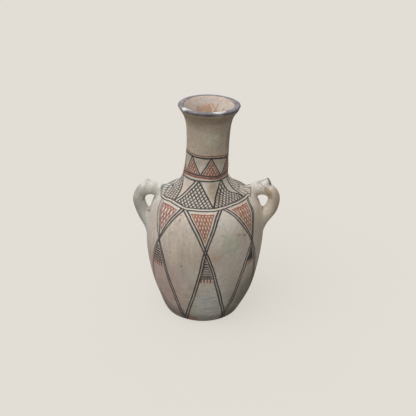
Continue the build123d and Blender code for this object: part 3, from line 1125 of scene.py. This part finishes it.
def neck_paint(wall):
    """Masks of the black and the red paint of the neck's band and of the ring at its root."""
    top = looked_along(wall.true_theta, NECK_RING_TOP, AROUND, NECK_TOP_RANGE)
    foot = looked_along(wall.true_theta, NECK_RING_FOOT, AROUND, NECK_FOOT_RANGE)
    share = (top - wall.height) / (top - foot)
    over_top = wall.height - top
    over_foot = wall.height - foot
    band = rise(over_foot, *NECK_BAND_FOOT) * rise(over_top, *NECK_BAND_TOP)
    rings = least(abs(over_foot), abs(wall.height - NECK_ROOT_HEIGHT))
    blacks = [line_mask(abs(over_top), NECK_TOP_HALF_WIDTH), line_mask(rings, NECK_RING_HALF_WIDTH)]
    reds = [line_mask(abs(over - gap), half_width) * strength
            for over, (gap, half_width, strength) in ((over_top, RED_RING_TOP), (over_foot, RED_RING_FOOT))]
    scale = wall.degree * NECK_SIDE_SLANT
    for left, tip, right in NECK_TRIANGLES:
        here = wrapped(wall.theta - tip, FULL_TURN)
        d1 = (here + share * (tip - left)) * scale
        d2 = (share * (right - tip) - here) * scale
        inner = least(d1, d2)
        blacks.append(line_mask(abs(inner), NECK_SIDE_HALF_WIDTH) * band)
        room = inner - NECK_RED_INSET
        strokes = least(hatching(d1 - NECK_RED_INSET, d2 - NECK_RED_INSET, NECK_RED_PITCH), abs(room))
        reds.append(line_mask(strokes, NECK_RED_HALF_WIDTH) * rise(room, *NECK_RED_EDGE) * band)
    return reduce(most, blacks), reduce(most, reds)


NECK_SEAM = 215.0
RED_CHANGE = (-42.0, -24.0)
RED_LOAD = (0.3, 0.6, 0.7, 0.97)
BLACK_LOAD = (0.3, 0.55, 0.78, 0.98)
PAINTERS = {
    "foot_course": [net_paint],
    "lower_course": [net_paint],
    "belly_course": [partial(net_paint, tassels=True)],
    "chest_course": [partial(net_paint, tassels=True)],
    "upper_course": [partial(net_paint, red=True)],
    "shoulder": [partial(net_paint, red=True), shoulder_paint],
    "neck_tube": [neck_paint, shoulder_paint],
    "mouth_flare": [],
}


def painted_material(name, painters, low, high):
    """Slip between two heights with the black and red paint that the painters put on it."""
    wall = Wall(name)
    colour, shade = clay_colour(wall, low, high)
    masks = [painter(wall) for painter in painters]
    reds = [red for black, red in masks if red]
    if reds:
        # The red is brown on the neck, and on the body it is redder on the left than on the right.
        paint = RED_PAINT_NECK
        if low < NECK_SEAM:
            paint = mixed(rise(wall.true_theta, *RED_CHANGE), RED_PAINT_LEFT, RED_PAINT)
        colour = mixed(reduce(most, reds) * between(wall.load, *RED_LOAD), colour, paint)
    if masks:
        black = reduce(most, [black for black, red in masks])
        colour = mixed(black * between(wall.load, *BLACK_LOAD), colour, BLACK_PAINT)
    return finished(wall, with_dabs(wall, colour, low, high), shade, SLIP_ROUGHNESS)


# Water stains on the throat's far wall: blots as place across, height and half sizes, and runs between.
STAIN_BLOTS = ((-12, 304, 8.5, 13), (-3, 303, 9.5, 15), (-20.5, 300, 4, 12), (9, 296, 9, 14))
STAIN_RUNS = ((6.3, 317, 3.4, 1.0, -52), (10.3, 311.5, 3.0, 1.2, -58), (11.9, 317, 3.6, 0.8, 64),
              (20, 312, 4.0, 0.9, 68))
STAIN_NOISE = (8.0, 4.0, 0.65)
STAIN_RAGGED = 1.9
STAIN_EDGE = (1.12, 0.88)
STAIN_RUN_LOAD = (0.35, 0.5, 0.5, 1.0)
STAIN_SIDE = (-8.0, 0.0)
STAIN_FADE = (284.0, 306.0)
STAIN_DEPTH = (0.3, 0.65, 0.45, 1.0)
INSIDE_PATCHES = (22.0, 3.0, 0.6)
INSIDE_EDGE = (0.38, 0.66)


def inside_material():
    """Unpainted slip inside the jar, with brown water stains at the back of the throat."""
    wall = Wall("inside_clay")
    patch = noise(wall.place, *INSIDE_PATCHES)
    colour = mixed(rise(patch, *INSIDE_EDGE), INSIDE_CREAM, INSIDE_PALE)
    blot = noise(stretched(wall.place, PATCH_STRETCH), *STAIN_NOISE)
    stains = []
    for across, height, half_width, half_height in STAIN_BLOTS:
        away = hypot((wall.across - across) / half_width, (wall.z - height) / half_height)
        stains.append(rise(away + swing(blot, STAIN_RAGGED), *STAIN_EDGE))
    for across, height, *sizes in STAIN_RUNS:
        run = dab_share(wall.across - across, wall.height - height, *sizes)
        stains.append(run * between(blot, *STAIN_RUN_LOAD))
    stain = reduce(most, stains) * rise(wall.back, *STAIN_SIDE) * rise(wall.z, *STAIN_FADE)
    colour = mixed(stain * between(patch, *STAIN_DEPTH), colour, STAIN)
    return finished(wall, colour, between(wall.mottle, *INSIDE_SHADE), INSIDE_ROUGHNESS)


# The lip, by the distance from the axis: where the paler slip of the top, lightened as a painted highlight,
# and the slip of the inside start, the line under the paint, and the paint's inner edge, which draws back
# behind.
LIP_HIGHLIGHT_START = (39.0, 38.0)
LIP_INSIDE_START = (36.0, 34.0)
RIM_RAGGED = 1.4
RIM_LINE_HEIGHT = 322.9
RIM_LINE_HALF_WIDTH = 0.9
RIM_LINE_START = (35.9, 38.0)
RIM_LINE_ENDS = (60.0, 45.0)
RIM_LINE_SHARE = 0.6
RIM_BACK = (0.0, 28.0, 0.0, 1.1)
RIM_PAINT_INNER = (35.5, 36.3)
RIM_PAINT_FOOT = (324.0, 324.8)
RIM_NOISE = (8.0, 5.0, 0.7)
RIM_STRETCH = (1.0, 1.0, 2.0)
RIM_WEAR = (0.4, 0.64)
# Painted shade: the paint darkens towards the lip's outer edge.
RIM_EDGE_SHADE = (42.0, 44.0)
RIM_EDGE_SHADE_SHARE = 0.3
RIM_CHIPS = (0.66, 0.72)
RIM_CHIP_DEPTH = 0.7
# Worn places on the lip: angle, radius, half the angle and half the width.
RIM_WORN = ((-55, 41, 9, 3.8), (-46, 39, 11, 2.4), (20, 40.4, 14, 4.4))
WORN_RAGGED = 1.4
WORN_EDGE = (1.05, 0.75)
WORN_HEIGHTS = (325.0, 327.0)
WORN_SHARE = 0.92


def rim_material():
    """The lip: worn dark paint over its top and edge, with painted shade at the outer edge, and bare slip
    below and inside, lightened on the top by a painted highlight.
    """
    wall = Wall("dark_rim")
    colour, shade = clay_colour(wall, SEAM_HEIGHTS[-1], LIP_TOP[1])
    # Paler slip with a painted highlight on the lip's top.
    colour = mixed(rise(wall.radius, *LIP_HIGHLIGHT_START), colour, LIP_PALE_HIGHLIGHT)
    colour = mixed(rise(wall.radius, *LIP_INSIDE_START), colour, INSIDE_PALE)
    edge = wall.radius + swing(wall.load, RIM_RAGGED)
    line = line_mask(abs(wall.height - RIM_LINE_HEIGHT), RIM_LINE_HALF_WIDTH) * rise(edge, *RIM_LINE_START)
    line = line * rise(abs(wall.true_theta), *RIM_LINE_ENDS)
    colour = mixed(line * RIM_LINE_SHARE, colour, RIM_LINE)
    inner = edge - between(wall.back, *RIM_BACK)
    painted = rise(inner, *RIM_PAINT_INNER) * rise(wall.height, *RIM_PAINT_FOOT)
    wear = noise(stretched(wall.place, RIM_STRETCH), *RIM_NOISE)
    tone = mixed(rise(wear, *RIM_WEAR), RIM_PAINT, RIM_PAINT_WORN)
    # Painted shade towards the lip's outer edge.
    tone = mixed(rise(wall.radius, *RIM_EDGE_SHADE) * RIM_EDGE_SHADE_SHARE, tone, BLACK_PAINT)
    for angle, radius, reach, width in RIM_WORN:
        aside = wrapped(wall.true_theta - angle, FULL_TURN) / reach
        away = hypot(aside, (wall.radius - radius) / width) + swing(wear, WORN_RAGGED)
        worn = rise(away, *WORN_EDGE) * rise(wall.z, *WORN_HEIGHTS)
        tone = mixed(worn * WORN_SHARE, tone, WORN_WHITE)
    colour = mixed(painted * (1.0 - rise(wear, *RIM_CHIPS) * RIM_CHIP_DEPTH), colour, tone)
    return finished(wall, colour, shade, RIM_ROUGHNESS)


# Marks on the handles, seen from the front: place across, height, half length, half width, tilt,
# colour and strength.
HANDLE_MARKS = (
    (92.3, 198.3, 4.8, 3.6, -50, HANDLE_BROWN, 0.62),
    (95.6, 191.0, 2.6, 2.4, -75, HANDLE_BROWN, 0.45),
    (83.2, 208.0, 6.5, 0.5, -37, (150, 122, 92), 0.55),
    (80.5, 205.5, 4.5, 0.4, -30, (156, 130, 100), 0.45),
    (65.6, 189.0, 0.5, 1.1, 0, (140, 96, 66), 0.7),
    (79.0, 186.5, 4.0, 1.4, 60, (150, 118, 84), 0.45),
    # The next two darken the crease at the lower corner of each handle's hole with painted shade; on the
    # left it runs over a pinkish crack.
    (85.0, 169.0, 1.6, 1.2, 90, (140, 92, 62), 0.6),
    (-84.8, 168.0, 4.6, 0.9, 80, (160, 122, 108), 0.5),
    (-85.6, 163.0, 0.6, 1.2, 0, (118, 66, 54), 0.7),
    (-77.6, 186.0, 4.0, 1.6, -62, (152, 130, 100), 0.5),
    (-92.6, 184.0, 4.0, 1.6, 70, (146, 124, 94), 0.6),
    (83.5, 213.6, 8.0, 1.3, 28, (168, 160, 154), 0.5),
)
MARK_RAGGED = 5.0
MARK_RAGGED_WIDTH = 3.0
MARK_WOBBLE = 0.6
HANDLE_HEIGHTS = (110.0, 220.0)
# Where the outer sides of the handles are painted with shade, and how much.
HANDLE_SHADE_LEFT = (-90.0, -102.0)
HANDLE_SHADE_RIGHT = (94.0, 106.0)
HANDLE_SHADE_SHARE = 0.6
# The brush strokes at the handles' roots, where the shoulder's paint ends, and the painted end of the right
# spur.
STROKE_PLACE = 66.0
STROKE_HALF_WIDTH = 1.1
STROKE_FOOT = (187.0, 190.0)
STROKE_FRONT = (-3.0, -6.0)
STROKE_SHARE = 0.75
STROKE_INSIDE = (66.0, 65.0)
SPUR_PAINT_DEPTHS = (-2.9, -1.9)
SPUR_PAINT_FOOT = (206.2, 207.8)
HANDLE_LOAD = (0.3, 0.55, 0.55, 0.8)


def handle_material():
    """Bare slip of the handles, with painted shade, hatching and the brush strokes that run up to their
    roots.
    """
    wall = Wall("handle_slip")
    colour, shade = clay_colour(wall, *HANDLE_HEIGHTS)
    x = wall.x
    wobble = (wall.height - wall.z) * MARK_WOBBLE
    for across, height, half_length, half_width, tilt, tint, strength in HANDLE_MARKS:
        ragged = swing(wall.load, MARK_RAGGED * min(1.0, half_width / MARK_RAGGED_WIDTH))
        share = dab_share(x - across + wobble, wall.z - height + ragged, half_length, half_width, tilt)
        colour = mixed(share * strength, colour, tint)
    # Painted shade: the handles' outer sides are darker, grey on the left and tan on the right.
    colour = mixed(rise(x, *HANDLE_SHADE_LEFT) * HANDLE_SHADE_SHARE, colour, HANDLE_SHADE_GREY)
    colour = mixed(rise(x, *HANDLE_SHADE_RIGHT) * HANDLE_SHADE_SHARE, colour, HANDLE_SHADE_TAN)
    stroke = line_mask(abs(abs(x) - STROKE_PLACE + wobble), STROKE_HALF_WIDTH) * rise(wall.z, *STROKE_FOOT)
    strokes = [stroke * rise(wall.back, *STROKE_FRONT) * STROKE_SHARE]
    strokes.append(shoulder_paint(wall)[0] * rise(abs(x) + wobble, *STROKE_INSIDE))
    end = rise(past_spur_end(x, wall.z) + wobble, *SPUR_PAINT_DEPTHS)
    strokes.append(end * rise(wall.z, *SPUR_PAINT_FOOT))
    colour = mixed(reduce(most, strokes) * between(wall.load, *HANDLE_LOAD), colour, BLACK_PAINT)
    return finished(wall, colour, shade, SLIP_ROUGHNESS)


def pot_pieces():
    """The pieces of the pot, each with the solid that it stands for."""
    inner = inner_outline()
    marks = [OUTER.mark_of_height(height) for height in SEAM_HEIGHTS]
    inside = inside_material()

    def inner_at(found):
        return along_line(found, OUTER.marks, inner)

    heel = even_marks(0.0, marks[0], HEEL_STEP)
    rings = OUTER.at(heel)
    seam = inner_at(marks[:1])[0]
    bottom = np.linspace((FLOOR_MIDDLE[0], 0.0), rings[0], UNDERSIDE_RINGS)
    floor = smooth_curve([seam, FLOOR_EDGE, FLOOR_MIDDLE], FLOOR_EDGE_WAY, INWARDS, FLOOR_POINTS)
    strips = [strip_through(bottom, "outer"), Strip(rings, OUTER.along(heel), "outer"),
              strip_through([rings[-1], seam], "inner"), strip_through(floor, "inner")]
    base = painted_material("base_slip", [net_paint], 0.0, SEAM_HEIGHTS[0])
    pieces = {"base_disc": turned_piece("base_disc_clay", strips, {"outer": base, "inner": inside}, False)}
    for i, node in enumerate(POT_NODES[1:-1]):
        up = even_marks(marks[i], marks[i + 1], OUTER_STEP)
        down = even_marks(marks[i], marks[i + 1], INNER_STEP)[::-1]
        outer_rings = OUTER.at(up)
        inner_rings = inner_at(down)
        ahead = inner_at(np.minimum(down + TANGENT_STEP, OUTER.length))
        behind_it = inner_at(np.maximum(down - TANGENT_STEP, 0.0))
        strips = [Strip(outer_rings, OUTER.along(up), "outer"),
                  strip_through([outer_rings[-1], inner_rings[0]], "inner"),
                  Strip(inner_rings, unit(behind_it - ahead), "inner"),
                  strip_through([inner_rings[-1], outer_rings[0]], "inner")]
        paint = painted_material(node + "_slip", PAINTERS[node], SEAM_HEIGHTS[i], SEAM_HEIGHTS[i + 1])
        pieces[node] = turned_piece(node + "_clay", strips, {"outer": paint, "inner": inside})
    up = even_marks(marks[-1], OUTER.length, HEEL_STEP)
    lip_way = OUTER.along([OUTER.length])[0]
    crown = smooth_curve([LIP_EDGE, LIP_TOP, LIP_INNER], lip_way, LIP_INNER_WAY, CROWN_POINTS)
    lip = Outline(np.vstack([OUTER.at(up), crown, inner_at(up[::-1])]))
    lip_marks = even_marks(0.0, lip.length, LIP_STEP)
    rings = lip.at(lip_marks)
    strips = [Strip(rings, lip.along(lip_marks), "outer"), strip_through([rings[-1], rings[0]], "outer")]
    pieces["rim_coil"] = turned_piece("rim_coil_clay", strips, {"outer": rim_material()})
    return pieces


HANDLE_PARTS = ("handle", "upper_collar", "lower_collar", "thumb_spur")


def build_jar():
    for node, piece in pot_pieces().items():
        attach(piece, "root")
        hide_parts(node)
    slip = handle_material()
    for side, word, roll, spur in ((-1, "left", LEFT_ROLL, LEFT_SPUR), (1, "right", RIGHT_ROLL, RIGHT_SPUR)):
        piece = handle_piece(word + "_handle_clay", side, roll, spur, slip)
        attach(piece, "root")
        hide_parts(*[word + "_" + part for part in HANDLE_PARTS])


# The stage: a wide pale floor, an even pale world behind it and soft light from above. The sky's light grows
# from low down to higher up, and drops towards the right.
FLOOR_COLOUR = (226, 222, 214)
FLOOR_SHADE_COLOUR = (120, 116, 110)
FLOOR_ROUGHNESS = 0.95
FLOOR_GLOW = 0.78
FLOOR_HALF_SIZE = 9000.0
SKY_COLOUR = (255, 253, 250)
SKY_LEVEL = (-0.1, 0.6, 0.16, 0.70)
SKY_SIDE = (0.3, 0.9, 1.0, 0.57)
SUN_LEVEL = 1.45
SUN_WIDTH = 60.0
SUN_TURN = (22.0, -24.0, 0.0)
CAMERA_PLACE = (3.49, -1015.3, 662.6)
CAMERA_TILT = 63.93
CAMERA_ROLL = 0.9
CAMERA_LENS = 64.88
SENSOR = 36.0


def seen_by_eye(tree):
    """1 for what the camera sees straight or through gloss and glass, 0 for light that falls on things."""
    names = ("Is Camera Ray", "Is Glossy Ray", "Is Transmission Ray")
    return reduce(most, [new_node(tree, "LightPath", {}, name) for name in names])


def build_stage():
    half = FLOOR_HALF_SIZE
    corners = [(-half, -half, 0), (half, -half, 0), (half, half, 0), (-half, half, 0)]
    floor = new_piece("floor", corners, [(0, 1, 2, 3)])
    material = bpy.data.materials.new("floor")
    material.use_nodes = True
    tree = material.node_tree
    shader = tree.nodes["Principled BSDF"]
    seen = seen_by_eye(tree)
    put(shader.inputs["Roughness"], FLOOR_ROUGHNESS)
    put(shader.inputs["Specular IOR Level"], 0.0)
    put(shader.inputs["Base Color"], mixed(seen, FLOOR_SHADE_COLOUR, FLOOR_COLOUR))
    glow = new_node(tree, "Emission", {"Color": linear(FLOOR_COLOUR)})
    softened = new_node(tree, "MixShader", {0: seen * FLOOR_GLOW, 1: Term(shader.outputs[0]), 2: glow})
    put(tree.nodes["Material Output"].inputs["Surface"], softened)
    floor.data.materials.append(material)


def build_light():
    world = bpy.data.worlds.new("studio")
    bpy.context.scene.world = world
    world.use_nodes = True
    tree = world.node_tree
    background = tree.nodes["Background"]
    right, _, up = parts_of(new_node(tree, "TexCoord", {}, "Generated"))
    level = between(up, *SKY_LEVEL) * between(right, *SKY_SIDE)
    seen = seen_by_eye(tree)
    put(background.inputs["Strength"], level * (1.0 - seen) + seen)
    put(background.inputs["Color"], mixed(seen, SKY_COLOUR, FLOOR_COLOUR))
    sun = bpy.data.lights.new("softbox", "SUN")
    sun.energy = SUN_LEVEL
    sun.angle = math.radians(SUN_WIDTH)
    lamp = bpy.data.objects.new("softbox", sun)
    lamp.rotation_euler = [math.radians(angle) for angle in SUN_TURN]
    bpy.context.scene.collection.objects.link(lamp)


def build_camera():
    data = bpy.data.cameras.new("camera")
    data.lens = CAMERA_LENS
    data.sensor_width = SENSOR
    camera = bpy.data.objects.new("camera", data)
    camera.location = [v * METRES for v in CAMERA_PLACE]
    tilt = Matrix.Rotation(math.radians(CAMERA_TILT), 3, "X")
    camera.rotation_euler = (tilt @ Matrix.Rotation(math.radians(CAMERA_ROLL), 3, "Z")).to_euler()
    bpy.context.scene.collection.objects.link(camera)
    bpy.context.scene.camera = camera
    bpy.context.scene.view_settings.view_transform = "Standard"


build_jar()
build_stage()
build_light()
build_camera()
